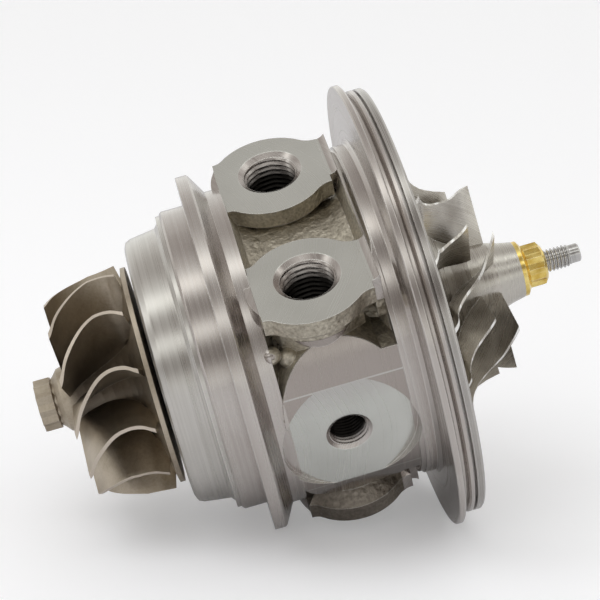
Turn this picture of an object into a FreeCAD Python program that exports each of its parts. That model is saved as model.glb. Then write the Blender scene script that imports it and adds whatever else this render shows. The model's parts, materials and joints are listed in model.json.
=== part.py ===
import FreeCAD, Part
import math
import os

# Turbocharger centre cartridge: a water-cooled bearing housing that carries a
# turbine wheel on one side and a compressor wheel on the other, on one shaft.
#
# Everything is modelled in millimetres along the shaft: X runs from the turbine to
# the compressor, and X = 0 is the front face of the ring that pilots the turbine
# housing. The oil feed points along +Z there, the coolant ports along +Y and the oil
# drain along -Z. The last step rolls and tilts the finished cartridge into the pose in
# which it lies on a bench, on the rims of its two flanges, so that +Z is up. Its origin
# is then on the shaft's axis, at the front face of the turbine side's clamp flange.

V = FreeCAD.Vector
AXIS = V(1, 0, 0)
ORIGIN = V(0, 0, 0)

# Lying pose
OIL_FEED_BELOW_HORIZONTAL = 23.3     # degrees, oil feed's direction as it lies

# Bearing housing, turbine side
PILOT_R = 39.7                       # ring that the turbine housing slides over
PILOT_LENGTH = 6.5
PILOT_CHAMFER = 0.6
CLAMP_FLANGE_R = 47.0                # clamp-band flange
CLAMP_LAND = 3.4
CLAMP_TAPER = 2.9
NECK_R = 41.5
NECK_LENGTH = 3.6

# Bearing housing, cast body between the two machined ends
CAST_R = 32.0
CAST_BLEND = 3.0                     # hollow blend where the waist meets its ends
BARREL_R = 42.4                      # round bosses of the oil feed and of the drain
BOSS_CENTRE_X = 31.0
BOSS_ARC_R = 15.4                    # rounding of a boss's outline towards the coolant pads
BOSS_REACH = 26.4                    # from the feed's plane of symmetry to the outline's top
BOSS_WING_REACH = 21.5

# Bearing housing, compressor side
SHOULDER_X = 46.2
SHOULDER_R = 43.1
STEP_X = 47.4
STEP_R = 43.7
RIM_X = 51.2                         # left face of the large rim
RIM_R = 58.65
RIM_LAND = 1.8
RIM_GROOVE_WIDTH = 1.6
RIM_GROOVE_R = 54.6
LAND_R = 56.4
LAND_WIDTH = 1.3
LAND_ROUND = 0.5
SEAM_GAP = 0.7
SEAM_DEPTH = 1.9

# Coolant ports: two threads on one machined plane, their pads joined to both ends
COOLANT_PLANE = 36.6                 # machined plane from the shaft's axis
COOLANT_X = 30.1
COOLANT_SPREAD = 42.6                # from port to port
COOLANT_PAD_R = 15.0
COOLANT_PAD_SHIFT = 1.2              # the cast pads sit a little nearer the feed than the ports
COOLANT_PAD_X = 29.6
COOLANT_THREAD_R = 7.0               # nominal radius of an M14 x 1.5 thread
COOLANT_SEAT_R = 8.3
COOLANT_SEAT_DEPTH = 0.9
COOLANT_DEPTH = 15.0
PAD_WING_LEFT_HALF = 9.9
PAD_WING_RIGHT_HALF = 9.1
PAD_WING_LEFT_X = 16.6
PAD_WING_RIGHT_X = 44.2
PAD_LEFT_WEB_R = 3.4                 # hollow corners between a pad's round and its wings
PAD_RIGHT_WEB_R = 5.6
PAD_RUN_OUT_R = 2.8                  # left by the cutter where the flat meets the shoulder
PAD_WALL = 4.6                       # upright part of a pad's side
PAD_SKIRT = 3.4                      # how far the side draws in below that

# Oil feed
FEED_X = 30.3
FEED_PLANE = 39.2
FEED_FACE_R = 17.2
FEED_THREAD_R = 5.0                  # nominal radius of an M10 x 1 thread
FEED_SEAT_R = 5.9
FEED_SEAT_DEPTH = 0.7
FEED_DEPTH = 12.0
FEED_GALLERY_R = 1.75

# Oil drain
DRAIN_X = 30.3
DRAIN_PLANE = 38.6
DRAIN_R = 8.5
DRAIN_CHAMBER_R = 9.5                # wider chamber under the bearings, above the drain's bore
DRAIN_CHAMBER_TOP = 9.0
DRAIN_CHAMBER_END = 20.0
DRAIN_PAD_R = 14.0
DRAIN_BOLT_R = 4.0                   # nominal radius of an M8 x 1.25 thread
DRAIN_BOLT_SEAT_R = 4.6
DRAIN_BOLT_SEAT_DEPTH = 0.6
DRAIN_BOLT_SPREAD = 40.0
DRAIN_BOLT_DEPTH = 14.0
DRAIN_EAR_R = 8.5

# Shaft and bearings
JOURNAL_R = 4.0
STUB_R = 3.0                         # M6 end that the compressor wheel slides onto
RUNNING_GAP = 0.02                   # journal to bush, radial
FLOAT_GAP = 0.04                     # bush to housing, radial
BUSH_WALL = 2.5
BUSH_LENGTH = 9.0
BUSH_END_GAP = 0.10
TURBINE_BUSH_X = 5.2
COMPRESSOR_BUSH_X = 31.0
BUSH_GROOVE_DEPTH = 0.6
BUSH_HOLES = 6
BUSH_HOLE_R = 0.8
SNAP_WIRE = 1.0
SNAP_SEAT = 0.9                      # how deep a retaining ring sits in the housing
SHAFT_SHOULDER_X = 41.0
OIL_CAVITY_R = 11.0

# Turbine seal
SEAL_HUB_R = 8.6
SEAL_BORE_GAP = 0.20
SEAL_HUB_END_X = -2.2
WELD_X = -11.6
RING_WIDTH = 1.4
RING_DEPTH = 1.5
RING_SIDE_GAP = 0.08
TURBINE_RING_X = -7.0
NOSE_R = 13.5
NOSE_X = -8.6

# Heat shield
SHIELD_X = -10.8
SHIELD_FRONT_R = 35.1
SHIELD_BASE_R = 36.0
SHIELD_SHEET = 1.0
SHIELD_CORNER = 2.0
SHIELD_LIP_R = 38.8
SHIELD_LIP = 1.1
SHIELD_HOLE_R = 10.2

# Turbine wheel
TURBINE_BLADES = 12
TURBINE_TIP_X = -34.2
TURBINE_TIP_R = 25.8
TURBINE_SHOULDER_X = -22.2
TURBINE_SHOULDER_R = 29.2
TURBINE_MAX_R = 29.9
TURBINE_DISC_X = -13.4
TURBINE_DISC_R = 28.6
TURBINE_HUB_R = 8.8
TURBINE_NUT_X = -42.8
TURBINE_NUT_LENGTH = 4.2
TURBINE_NUT_R = 6.9                  # over the points of its twelve-point end
TURBINE_BLADE_ROOT = 1.9
TURBINE_BLADE_EDGE = 0.85
TURBINE_PHASE = 41.8                 # degrees, a blade's inlet from the oil feed
# Blade sweep: X station and the blade's angle there from its inlet edge
TURBINE_SWEEP = (
    (-34.2, -19.5), (-31.0, -7.0), (-28.0, 0.8), (-24.5, 6.6),
    (-21.0, 8.6), (-17.5, 7.5), (-14.8, 4.2), (-11.9, 0.0),
)
# Hub's outline between the blades: X station and radius
TURBINE_HUB_CURVE = (
    (TURBINE_TIP_X, TURBINE_HUB_R), (-28.0, 9.4), (-22.0, 11.6), (-18.0, 15.0),
    (-15.4, 20.0), (TURBINE_DISC_X, TURBINE_DISC_R),
)

# Compressor wheel
FULL_BLADES = 6
COMPRESSOR_BACK_X = 59.2
COMPRESSOR_RIM = 1.1
COMPRESSOR_MAX_R = 33.5
INDUCER_X = 78.7
INDUCER_R = 24.6
SPLITTER_X = 73.3
COMPRESSOR_HUB_R = 9.1
COMPRESSOR_NOSE_X = 85.6
COMPRESSOR_NOSE_R = 7.4
COMPRESSOR_HUB_START_X = 57.6
COMPRESSOR_HUB_BACK_R = 6.4
COMPRESSOR_BLADE_ROOT = 1.3
COMPRESSOR_BLADE_EDGE = 0.6
COMPRESSOR_PHASE = 67.2              # degrees, a full blade's leading edge from the oil feed
# Blade sweep: X station and the blade's angle there from its leading edge
COMPRESSOR_SWEEP = (
    (78.7, 0.0), (76.4, -8.2), (73.3, -19.3), (70.8, -24.8), (67.3, -30.2),
    (65.0, -34.0), (63.0, -38.2), (61.2, -43.0), (59.6, -47.5),
)
# Outlines of the hub and of the blades' tips: X station and radius
COMPRESSOR_HUB_CURVE = (
    (COMPRESSOR_BACK_X + COMPRESSOR_RIM, COMPRESSOR_MAX_R), (60.9, 29.0), (62.0, 24.5),
    (64.0, 19.6), (67.0, 15.4), (70.5, 12.3), (74.5, 10.2), (INDUCER_X, COMPRESSOR_HUB_R),
)
COMPRESSOR_SHROUD_CURVE = (
    (63.2, COMPRESSOR_MAX_R), (63.6, 31.3), (64.9, 28.7), (67.9, 26.4),
    (72.3, 24.9), (INDUCER_X, INDUCER_R),
)
SHROUD_STATIONS = (63.2, 63.6, 64.2, 64.9, 66.3, 67.9, 70.0, 72.3, 75.5)

# Compressor nut: flanged, twelve-point
NUT_FLANGE_R = 7.3
NUT_FLANGE = 2.1
NUT_BODY_R = 5.8
NUT_LENGTH = 7.1
THREAD_END_X = 99.9
TAIL_END_X = 102.4
TAIL_R = 2.46

# Thrust parts, from the shaft's shoulder towards the compressor
THRUST_GAP = 0.06
THRUST_RING = 2.0
THRUST_RING_R = 9.5
THRUST_PLATE = 3.5
THRUST_PLATE_R = 21.0
THRUST_BORE_R = 5.7
COLLAR_SLEEVE_R = 5.5
COLLAR_FLANGE = 2.0
FLINGER_R = 7.0
FLINGER_DISC_R = 9.2
FLINGER_DISC = 1.2
COMPRESSOR_RING_X = 53.6
DEFLECTOR_SHEET = 0.8
DEFLECTOR_HOLE_R = 8.0
DEFLECTOR_R = 22.5
THRUST_SCREWS = 3
THRUST_SCREW_RING_R = 16.5
THRUST_SCREW_R = 1.5
THRUST_SCREW_HEAD_R = 2.75
THRUST_SCREW_HEAD = 1.6
THRUST_SCREW_LENGTH = 7.0
THRUST_PINS = 2
THRUST_PIN_R = 1.25
THRUST_PIN_RING_R = 13.0
THRUST_PIN_LENGTH = 6.0

# Seal plate behind the compressor wheel
POCKET_R = 24.0                      # recess in the housing that takes the plate's spigot
SPIGOT_GAP = 0.05
SPIGOT_X = 51.6
PLATE_LIP = 2.1
PLATE_DISH_R = 34.4
PLATE_DISH = 0.5
PLATE_SCREWS = 4
PLATE_SCREW_RING_R = 40.5
PLATE_SCREW_R = 2.5
PLATE_SCREW_HEAD_R = 4.6
PLATE_SCREW_LENGTH = 9.0
PLATE_SCREW_SOCKET_R = 1.5
ORING_SECTION_R = 0.9
ORING_X = 53.7

DRILL_POINT = 0.55                   # a drill's point is this much of its radius deep

# Cast lumps between a coolant pad and the barrel: X, radius, angle from the feed, size
LUMPS = ((16.7, 40.0, 37.8, 2.3), (20.8, 38.4, 35.5, 2.7))


# Stations and radii that follow from the driving sizes
pilot_end_x = PILOT_LENGTH
clamp_end_x = pilot_end_x + CLAMP_LAND
taper_end_x = clamp_end_x + CLAMP_TAPER
neck_end_x = taper_end_x + NECK_LENGTH
rim_end_x = RIM_X + RIM_LAND
groove_end_x = rim_end_x + RIM_GROOVE_WIDTH
land_end_x = groove_end_x + LAND_WIDTH
lip_x = land_end_x + SEAM_GAP
plate_end_x = lip_x + PLATE_LIP
bush_bore_r = JOURNAL_R + RUNNING_GAP
bush_r = bush_bore_r + BUSH_WALL
bearing_bore_r = bush_r + FLOAT_GAP
seal_bore_r = SEAL_HUB_R + SEAL_BORE_GAP
thrust_face_x = SHAFT_SHOULDER_X + THRUST_RING + THRUST_GAP
collar_flange_x = thrust_face_x + THRUST_PLATE + THRUST_GAP
flinger_x = collar_flange_x + COLLAR_FLANGE
deflector_x = SPIGOT_X - DEFLECTOR_SHEET
flinger_bore_r = FLINGER_R + SEAL_BORE_GAP
nut_x = COMPRESSOR_NOSE_X
nut_end_x = nut_x + NUT_LENGTH
lying_tilt = math.degrees(math.atan2(RIM_R - CLAMP_FLANGE_R, RIM_X - pilot_end_x))


def turned(profile):
    """A solid of revolution about the shaft from (x, r) corners."""
    points = [V(x, 0, r) for x, r in profile]
    return Part.Face(Part.makePolygon(points + points[:1])).revolve(ORIGIN, AXIS, 360)


def ring(x0, x1, r_in, r_out):
    """A plain turned ring, or a disc where the inner radius is zero."""
    outer = Part.makeCylinder(r_out, x1 - x0, V(x0, 0, 0), AXIS)
    if r_in <= 0:
        return outer
    return outer.cut(Part.makeCylinder(r_in, x1 - x0 + 2, V(x0 - 1, 0, 0), AXIS))


def polar(x, r, angle):
    """A point at an angle in degrees about the shaft, from the oil feed to the coolant ports."""
    a = math.radians(angle)
    return V(x, r * math.sin(a), r * math.cos(a))


def turned_by(shape, angle):
    """The shape turned about the shaft by an angle measured as in polar()."""
    copy = shape.copy()
    copy.rotate(ORIGIN, AXIS, -angle)
    return copy


def around(shape, count, start=0.0):
    """Evenly spaced copies about the shaft."""
    return [turned_by(shape, start + 360.0 * i / count) for i in range(count)]


def smooth(table, x):
    """A smooth curve through a table of (x, value) rows: cubic, with averaged slopes."""
    rows = sorted(table)
    xs = [row[0] for row in rows]
    ys = [row[1] for row in rows]
    slopes = [(ys[i + 1] - ys[i]) / (xs[i + 1] - xs[i]) for i in range(len(xs) - 1)]
    ends = [slopes[0]] + [(a + b) / 2 for a, b in zip(slopes, slopes[1:])] + [slopes[-1]]
    i = max(0, min(len(xs) - 2, sum(1 for k in xs[1:-1] if k <= x)))
    span = xs[i + 1] - xs[i]
    t = (x - xs[i]) / span
    return ((2 * t**3 - 3 * t**2 + 1) * ys[i] + (t**3 - 2 * t**2 + t) * span * ends[i]
            + (3 * t**2 - 2 * t**3) * ys[i + 1] + (t**3 - t**2) * span * ends[i + 1])


def bladed(x0, x1, steps, sweep, root_r, tip_r, root_t, edge_t):
    """One blade, lofted through four-sided sections across the shaft from x0 to x1.

    root_r and tip_r give the blade's inner and outer radius at a station, and the sweep
    table its angle. The blade is root_t thick at the hub and edge_t at the tip, and it
    stands a little proud of its tip, where it is trimmed."""
    sections = []
    for i in range(steps + 1):
        x = x0 + (x1 - x0) * i / steps
        slope = math.radians(smooth(sweep, x + 0.05) - smooth(sweep, x - 0.05)) / 0.1
        points = []
        for r, thick, side in ((root_r(x), root_t, -1), (tip_r(x) + 1.2, edge_t, -1),
                               (tip_r(x) + 1.2, edge_t, 1), (root_r(x), root_t, 1)):
            half = math.degrees(thick / 2 * math.hypot(1, r * slope) / r)
            points.append(polar(x, r, smooth(sweep, x) + side * half))
        sections.append(Part.makePolygon(points + points[:1]))
    return Part.makeLoft(sections, True, False)


def swept_by(stations, tip_r):
    """The space that the blades' tips sweep: a solid of revolution up to their tips."""
    tips = [(x, tip_r(x)) for x in stations]
    return turned([(stations[0], 0)] + tips + [(stations[-1], 0)])


def polygon_prism(x0, x1, corner_r, corners, angle):
    """A prism along the shaft with equal sides."""
    points = [polar(x0, corner_r, angle + 360.0 * i / corners) for i in range(corners)]
    return Part.Face(Part.makePolygon(points + points[:1])).extrude(V(x1 - x0, 0, 0))


def twelve_point(x0, x1, corner_r):
    """The double hexagon that a twelve-point socket drives."""
    return polygon_prism(x0, x1, corner_r, 6, 0).fuse(polygon_prism(x0, x1, corner_r, 6, 30))


def slab(outline, plane, depth):
    """A pad: an outline of faces in the plane z = 0, raised from plane - depth to plane."""
    pad = outline[0].multiFuse(outline[1:]).removeSplitter() if len(outline) > 1 else outline[0]
    pad = pad.extrude(V(0, 0, depth))
    pad.translate(V(0, 0, plane - depth))
    return pad


def disc_face(x, y, r):
    return Part.Face(Part.Wire(Part.makeCircle(r, V(x, y, 0), V(0, 0, 1))))


def box_face(x0, x1, y0, y1):
    corners = [V(x0, y0, 0), V(x1, y0, 0), V(x1, y1, 0), V(x0, y1, 0), V(x0, y0, 0)]
    return Part.Face(Part.makePolygon(corners))


def pad_outline():
    """A coolant pad's outline in the plane z = 0: round, with a wing to each end."""
    outline = disc_face(COOLANT_PAD_X, 0, COOLANT_PAD_R).multiFuse([
        box_face(PAD_WING_LEFT_X, COOLANT_PAD_X, -PAD_WING_LEFT_HALF, PAD_WING_LEFT_HALF),
        box_face(COOLANT_PAD_X, PAD_WING_RIGHT_X, -PAD_WING_RIGHT_HALF, PAD_WING_RIGHT_HALF),
    ]).removeSplitter()
    return outline.Faces[0]


def coolant_pads():
    """The pads of the two coolant ports, facing +Z: upright sides, then a skirt."""
    upright = pad_outline().extrude(V(0, 0, -PAD_WALL))
    for side, web_r in ((-1, PAD_LEFT_WEB_R), (1, PAD_RIGHT_WEB_R)):
        corners = [edge for edge in upright.Edges if is_web_corner(edge, side)]
        upright = upright.makeFillet(web_r, corners)
    foot = max((f for f in upright.Faces if f.CenterOfMass.z < 0.01 - PAD_WALL),
               key=lambda f: f.Area)
    ring_wire = foot.OuterWire
    drawn_in = ring_wire.makeOffset2D(-PAD_SKIRT)
    drawn_in.translate(V(0, 0, -PAD_SKIRT))
    skirt = Part.makeLoft([ring_wire, drawn_in], True, True)
    root = Part.Face(drawn_in).extrude(V(0, 0, -PAD_WALL))
    pads = []
    for side in (-1, 1):
        pad = upright.multiFuse([skirt, root])
        pad.translate(V(0, side * COOLANT_SPREAD / 2 - COOLANT_PAD_SHIFT, COOLANT_PLANE))
        pads.append(pad)
    return pads


def is_web_corner(edge, side):
    """Whether an edge is the upright line where a pad's round meets a wing on that side."""
    ends = [vertex.Point for vertex in edge.Vertexes]
    if len(ends) < 2 or abs(ends[0].x - ends[1].x) + abs(ends[0].y - ends[1].y) > 0.001:
        return False
    x = ends[0].x - COOLANT_PAD_X
    return x * side > 0 and abs(math.hypot(x, ends[0].y) - COOLANT_PAD_R) < 0.01


def pad_run_out():
    """What the cutter of the coolant pads takes from the shoulder beside their flats."""
    start_x = PAD_WING_RIGHT_X - PAD_RUN_OUT_R
    floor = COOLANT_PLANE
    half = COOLANT_SPREAD / 2 + PAD_WING_RIGHT_HALF
    room = SHOULDER_R
    end_x = PAD_WING_RIGHT_X + PAD_RUN_OUT_R
    centre = V(PAD_WING_RIGHT_X, 0, floor + PAD_RUN_OUT_R)
    bend = math.sqrt(0.5) * PAD_RUN_OUT_R
    path = [
        Part.LineSegment(V(start_x, 0, floor), V(PAD_WING_RIGHT_X, 0, floor)),
        Part.Arc(V(PAD_WING_RIGHT_X, 0, floor), centre + V(bend, 0, -bend),
                 V(end_x, 0, floor + PAD_RUN_OUT_R)),
        Part.LineSegment(V(end_x, 0, floor + PAD_RUN_OUT_R), V(end_x, 0, floor + room)),
        Part.LineSegment(V(end_x, 0, floor + room), V(start_x, 0, floor + room)),
        Part.LineSegment(V(start_x, 0, floor + room), V(start_x, 0, floor)),
    ]
    cut = Part.Face(Part.Wire([line.toShape() for line in path])).extrude(V(0, 2 * half, 0))
    cut.translate(V(0, -half - COOLANT_PAD_SHIFT, 0))
    return cut


def port(x, y, plane, bore_r, depth, seat_r, seat_depth):
    """A port to cut along -Z: a conical seat, the bore and a drill's point at its end."""
    down = V(0, 0, -1)
    parts = [
        Part.makeCylinder(bore_r, depth + 1, V(x, y, plane + 1), down),
        Part.makeCone(bore_r, 0.1, bore_r * DRILL_POINT, V(x, y, plane - depth), down),
        Part.makeCone(seat_r, bore_r, seat_depth, V(x, y, plane), down),
    ]
    return parts[0].multiFuse(parts[1:])


def housing_outline():
    """The turned outside of the housing, with the cast waist between its machined ends."""
    return turned([
        (0, 0), (0, PILOT_R - PILOT_CHAMFER), (PILOT_CHAMFER, PILOT_R),
        (pilot_end_x, PILOT_R), (pilot_end_x, CLAMP_FLANGE_R),
        (clamp_end_x - 0.5, CLAMP_FLANGE_R), (clamp_end_x, CLAMP_FLANGE_R - 0.5),
        (taper_end_x, NECK_R), (neck_end_x, NECK_R), (neck_end_x, CAST_R + 2 * CAST_BLEND),
        (neck_end_x + 0.6 * CAST_BLEND, CAST_R + CAST_BLEND / 2),
        (neck_end_x + 2 * CAST_BLEND, CAST_R), (SHOULDER_X - 2 * CAST_BLEND, CAST_R),
        (SHOULDER_X - 0.6 * CAST_BLEND, CAST_R + CAST_BLEND / 2),
        (SHOULDER_X, CAST_R + 2 * CAST_BLEND), (SHOULDER_X, SHOULDER_R), (STEP_X, SHOULDER_R),
        (STEP_X, STEP_R), (RIM_X - 1.0, STEP_R), (RIM_X, STEP_R + 1.0),
        (RIM_X, RIM_R - 0.3), (RIM_X + 0.3, RIM_R), (rim_end_x - 0.3, RIM_R),
        (rim_end_x, RIM_R - 0.4), (rim_end_x + 0.5, RIM_GROOVE_R),
        (groove_end_x - 0.3, RIM_GROOVE_R), (groove_end_x, LAND_R - LAND_ROUND),
        (groove_end_x + LAND_ROUND, LAND_R), (land_end_x, LAND_R), (land_end_x, 0),
    ])


def round_boss(angle):
    """A boss with a cylindrical top and rounded sides, around the oil feed or the drain."""
    outline = [disc_face(BOSS_CENTRE_X, side * (BOSS_REACH - BOSS_ARC_R), BOSS_ARC_R)
               for side in (-1, 1)]
    outline.append(box_face(neck_end_x - 1, SHOULDER_X + 1, BOSS_ARC_R - BOSS_REACH,
                            BOSS_REACH - BOSS_ARC_R))
    outline.append(box_face(BOSS_CENTRE_X, SHOULDER_X + 1, -BOSS_WING_REACH, BOSS_WING_REACH))
    boss = slab(outline, BARREL_R + 1, BARREL_R)
    boss = boss.common(ring(neck_end_x - 1, SHOULDER_X + 1, CAST_R / 2, BARREL_R))
    return turned_by(boss, angle)


def housing_bores():
    """The turned inside of the housing, from the turbine seal to the seal plate's pocket."""
    snap_r = bearing_bore_r + SNAP_SEAT
    bush_1_end = TURBINE_BUSH_X + BUSH_LENGTH
    bush_2_end = COMPRESSOR_BUSH_X + BUSH_LENGTH
    snaps = [TURBINE_BUSH_X - BUSH_END_GAP - SNAP_WIRE, bush_1_end + BUSH_END_GAP,
             COMPRESSOR_BUSH_X - BUSH_END_GAP - SNAP_WIRE]
    thrust_pocket_r = THRUST_RING_R + 0.8
    bores = [
        ring(NOSE_X - 1, SEAL_HUB_END_X + 0.5, 0, seal_bore_r),
        ring(SEAL_HUB_END_X, 2.0, 0, OIL_CAVITY_R),
        ring(1.0, SHAFT_SHOULDER_X, 0, bearing_bore_r),
        ring(bush_1_end + 2.6, COMPRESSOR_BUSH_X - 2.6, 0, OIL_CAVITY_R),
        ring(bush_2_end + 0.1, thrust_face_x + 1, 0, thrust_pocket_r),
        ring(thrust_face_x, collar_flange_x + 0.5, 0, THRUST_PLATE_R),
        ring(thrust_face_x + THRUST_PLATE, land_end_x + 1, 0, POCKET_R),
    ]
    bores += [ring(x, x + SNAP_WIRE, 0, snap_r) for x in snaps]
    return bores, snaps


def bearing_housing(snaps_out):
    body = housing_outline()
    nose = ring(NOSE_X, 1.0, 0, NOSE_R)
    body = body.multiFuse([nose, round_boss(0), round_boss(180)])

    # Pads of the coolant ports, and the same pads undrilled on the far side
    for side in (90, -90):
        body = body.multiFuse([turned_by(pad, side) for pad in coolant_pads()])
        body = body.cut(turned_by(pad_run_out(), side))

    # Flat around the oil feed, and the drain's flat with its two bolt bosses
    feed_face = Part.makeCylinder(FEED_FACE_R, 20, V(FEED_X, 0, FEED_PLANE))
    drain = [disc_face(DRAIN_X, 0, DRAIN_PAD_R), box_face(
        DRAIN_X - DRAIN_EAR_R, DRAIN_X + DRAIN_EAR_R,
        -DRAIN_BOLT_SPREAD / 2, DRAIN_BOLT_SPREAD / 2)]
    for side in (-1, 1):
        drain.append(disc_face(DRAIN_X, side * DRAIN_BOLT_SPREAD / 2, DRAIN_EAR_R))
    drain_pad = slab(drain, DRAIN_PLANE, DRAIN_PLANE - 18)
    above_drain = Part.makeBox(SHOULDER_X - neck_end_x - 2, 2 * BARREL_R, 20,
                               V(neck_end_x + 1, -BARREL_R, DRAIN_PLANE))
    body = body.fuse(turned_by(drain_pad, 180))
    body = body.cut(feed_face)
    body = body.cut(turned_by(above_drain, 180))

    body = body.multiFuse([Part.makeSphere(size, polar(x, r, angle))
                           for x, r, angle, size in LUMPS])

    # Ports, oil ways and bores
    cuts = []
    for side in (-1, 1):
        coolant = port(COOLANT_X, side * COOLANT_SPREAD / 2, COOLANT_PLANE, COOLANT_THREAD_R,
                       COOLANT_DEPTH, COOLANT_SEAT_R, COOLANT_SEAT_DEPTH)
        cuts.append(turned_by(coolant, 90))
        bolt = port(DRAIN_X, side * DRAIN_BOLT_SPREAD / 2, DRAIN_PLANE, DRAIN_BOLT_R,
                    DRAIN_BOLT_DEPTH, DRAIN_BOLT_SEAT_R, DRAIN_BOLT_SEAT_DEPTH)
        cuts.append(turned_by(bolt, 180))
    cuts.append(port(FEED_X, 0, FEED_PLANE, FEED_THREAD_R, FEED_DEPTH, FEED_SEAT_R,
                     FEED_SEAT_DEPTH))
    gallery_top = FEED_PLANE - FEED_DEPTH
    cuts.append(Part.makeCylinder(FEED_GALLERY_R, gallery_top, V(FEED_X + 4, 0, 0)))
    branch = V(TURBINE_BUSH_X + BUSH_LENGTH / 2 - FEED_X, 0, -gallery_top)
    cuts.append(Part.makeCylinder(FEED_GALLERY_R, branch.Length, V(FEED_X, 0, gallery_top), branch))
    drain_bore = Part.makeCylinder(DRAIN_R, DRAIN_PLANE - DRAIN_CHAMBER_TOP + 1,
                                   V(DRAIN_X, 0, DRAIN_CHAMBER_TOP))
    chamber = Part.makeCylinder(DRAIN_CHAMBER_R, DRAIN_CHAMBER_END - DRAIN_CHAMBER_TOP,
                                V(DRAIN_X, 0, DRAIN_CHAMBER_TOP))
    cuts.append(turned_by(drain_bore.fuse(chamber), 180))
    slot = Part.makeBox(POCKET_R, 2 * DRAIN_R - 4, 8, V(DRAIN_X, 2 - DRAIN_R, OIL_CAVITY_R + 1))
    cuts.append(turned_by(slot, 180))
    bores, snaps = housing_bores()
    snaps_out.extend(snaps)
    body = body.cut(cuts[0].multiFuse(cuts[1:])).cut(bores[0].multiFuse(bores[1:]))

    # Threaded holes for the thrust bearing's and the seal plate's screws, and its pins
    holes = around(screw_shank(thrust_face_x, THRUST_SCREW_R, THRUST_SCREW_RING_R,
                               THRUST_SCREW_LENGTH - THRUST_PLATE), THRUST_SCREWS, 30)
    holes += around(screw_shank(thrust_face_x, THRUST_PIN_R, THRUST_PIN_RING_R,
                                THRUST_PIN_LENGTH - THRUST_PLATE), THRUST_PINS, 90)
    holes += around(screw_shank(land_end_x, PLATE_SCREW_R, PLATE_SCREW_RING_R,
                                PLATE_SCREW_LENGTH - PLATE_LIP - SEAM_GAP), PLATE_SCREWS, 45)
    body = body.cut(holes[0].multiFuse(holes[1:]))
    return body


def screw_shank(face_x, r, ring_r, depth):
    """A cylinder that goes into a face from the compressor side."""
    return Part.makeCylinder(r, depth, V(face_x - depth, 0, ring_r), AXIS)


def heat_shield():
    """A pressed cup that keeps the turbine's heat off the housing."""
    base_x = -SHIELD_LIP
    sheet = SHIELD_SHEET
    outside = [
        (SHIELD_X, SHIELD_HOLE_R), (SHIELD_X, SHIELD_FRONT_R - SHIELD_CORNER),
        (SHIELD_X + 0.3 * SHIELD_CORNER, SHIELD_FRONT_R - 0.3 * SHIELD_CORNER),
        (SHIELD_X + SHIELD_CORNER, SHIELD_FRONT_R),
        (base_x - 1.0, SHIELD_BASE_R), (base_x, SHIELD_BASE_R + 1.2),
        (base_x, SHIELD_LIP_R), (0, SHIELD_LIP_R),
    ]
    inside = [
        (0, SHIELD_BASE_R - 0.2), (base_x - 0.4, SHIELD_BASE_R - sheet),
        (SHIELD_X + SHIELD_CORNER, SHIELD_FRONT_R - sheet),
        (SHIELD_X + sheet, SHIELD_FRONT_R - SHIELD_CORNER),
        (SHIELD_X + sheet, SHIELD_HOLE_R),
    ]
    return turned(outside + inside)


def turbine_root(x):
    """Radius from which a turbine blade rises, a little inside the hub."""
    return smooth(TURBINE_HUB_CURVE, x) - 0.8


def turbine_tip(x):
    if x < TURBINE_SHOULDER_X:
        share = (x - TURBINE_TIP_X) / (TURBINE_SHOULDER_X - TURBINE_TIP_X)
        return TURBINE_TIP_R + share * (TURBINE_SHOULDER_R - TURBINE_TIP_R)
    share = (x - TURBINE_SHOULDER_X) / (TURBINE_DISC_X - TURBINE_SHOULDER_X)
    return TURBINE_SHOULDER_R + share * (TURBINE_MAX_R - TURBINE_SHOULDER_R)


def turbine_wheel():
    """Cast wheel: hub, full back disc, twelve swept blades and a twelve-point end."""
    nut_end = TURBINE_NUT_X + TURBINE_NUT_LENGTH
    curve = [(x, smooth(TURBINE_HUB_CURVE, x)) for x in
             (-34.2, -30, -26, -23, -20.5, -18.5, -17, -16, -15.2, -14.4, TURBINE_DISC_X)]
    hub = turned([(nut_end - 0.5, 0), (nut_end - 0.5, 5.6), (nut_end + 0.8, 6.6),
                  (nut_end + 2.2, 8.2)] + curve
                 + [(TURBINE_DISC_X + 1.2, TURBINE_DISC_R), (WELD_X, TURBINE_HUB_R + 3),
                    (WELD_X, 0)])
    nut = twelve_point(TURBINE_NUT_X, nut_end, TURBINE_NUT_R)
    blade = bladed(TURBINE_TIP_X - 0.5, TURBINE_DISC_X + 0.6, 9, TURBINE_SWEEP, turbine_root,
                   turbine_tip, TURBINE_BLADE_ROOT, TURBINE_BLADE_EDGE)
    stations = (TURBINE_TIP_X, TURBINE_SHOULDER_X, TURBINE_DISC_X + 0.4)
    blade = blade.common(swept_by(stations, turbine_tip))
    blades = around(blade, TURBINE_BLADES, TURBINE_PHASE)
    return hub.multiFuse([nut] + blades)


def rotor_shaft():
    """Seal hub, journals, and the thinner end with the thread and the plain tail."""
    groove_end = TURBINE_RING_X + RING_WIDTH + RING_SIDE_GAP
    groove_r = SEAL_HUB_R - RING_DEPTH
    return turned([
        (WELD_X, 0), (WELD_X, SEAL_HUB_R), (TURBINE_RING_X - RING_SIDE_GAP, SEAL_HUB_R),
        (TURBINE_RING_X - RING_SIDE_GAP, groove_r), (groove_end, groove_r),
        (groove_end, SEAL_HUB_R), (SEAL_HUB_END_X, SEAL_HUB_R),
        (SEAL_HUB_END_X + 0.6, JOURNAL_R + 0.8), (SEAL_HUB_END_X + 2, JOURNAL_R),
        (SHAFT_SHOULDER_X, JOURNAL_R), (SHAFT_SHOULDER_X, STUB_R),
        (THREAD_END_X - 0.4, STUB_R), (THREAD_END_X, TAIL_R), (TAIL_END_X - 0.3, TAIL_R),
        (TAIL_END_X, TAIL_R - 0.3), (TAIL_END_X, 0),
    ])


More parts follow.
